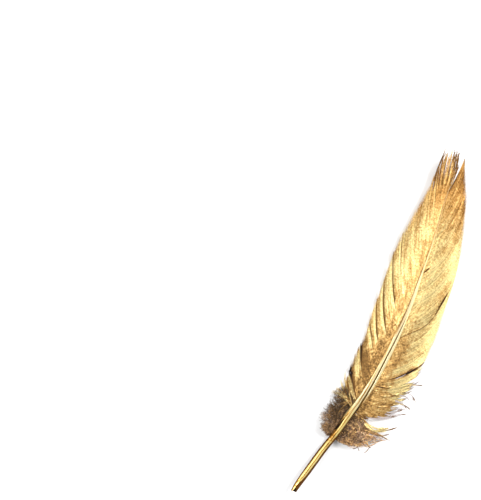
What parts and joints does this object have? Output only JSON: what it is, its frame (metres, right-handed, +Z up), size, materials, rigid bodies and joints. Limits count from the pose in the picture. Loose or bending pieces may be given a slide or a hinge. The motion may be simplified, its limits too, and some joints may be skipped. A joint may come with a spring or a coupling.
{
  "type": "goose quill feather",
  "caption": "Gold-painted goose quill feather with a grooved shaft, parted vanes, a frayed tip and downy tufts above the bare quill, lying flat.",
  "frame": {"origin": "middle of the feather's length and width, on the surface that it lies on", "axes": "+Y along the feather from the cut end of the quill to the tip, +X across it, +Z up from the surface"},
  "size_m": [0.0356, 0.1564, 0.0073],
  "materials": {
    "gold_feather": "satin gold paint over keratin, thin enough in the down for its taupe to show"
  },
  "bodies": {
    "root": {"feather": "gold_feather"}
  },
  "joints": []
}
